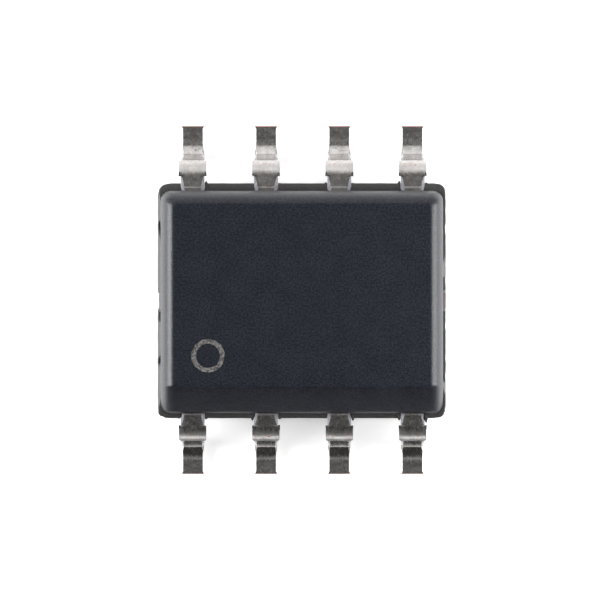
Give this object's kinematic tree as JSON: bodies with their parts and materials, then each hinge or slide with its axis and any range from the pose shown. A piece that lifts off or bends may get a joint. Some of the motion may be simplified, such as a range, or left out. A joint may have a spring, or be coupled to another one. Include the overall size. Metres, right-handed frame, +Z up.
{
  "type": "soic chip",
  "caption": "Small-outline surface-mount integrated circuit: moulded body with gull-wing leads along both long sides, bevelled pin side and a ring mark at pin 1.",
  "frame": {"origin": "centre of the package on the board, at the seating plane of the feet", "axes": "+Z up out of the board, +Y across the package over the tips of the leads, +X along the rows of leads; pin 1 stands at -X -Y"},
  "size_m": [0.005, 0.006, 0.0016],
  "materials": {
    "mold_compound": "fine spark-eroded matt, filled epoxy",
    "lead_plating": "satin plate over copper alloy, copper bare on the cut tips",
    "frame_copper": "bare stamped copper alloy",
    "die_glue": "silver-filled epoxy",
    "silicon": "polished",
    "wire_copper": "drawn wire"
  },
  "bodies": {
    "root": {"mold_body": "mold_compound", "lead_1": "lead_plating", "lead_2": "lead_plating", "lead_3": "lead_plating", "lead_4": "lead_plating", "lead_5": "lead_plating", "lead_6": "lead_plating", "lead_7": "lead_plating", "lead_8": "lead_plating", "die_pad": "frame_copper", "die_attach": "die_glue", "die": "silicon", "bond_wire_1": "wire_copper", "bond_wire_2": "wire_copper", "bond_wire_3": "wire_copper", "bond_wire_4": "wire_copper", "bond_wire_5": "wire_copper", "bond_wire_6": "wire_copper", "bond_wire_7": "wire_copper", "bond_wire_8": "wire_copper"}
  },
  "joints": []
}
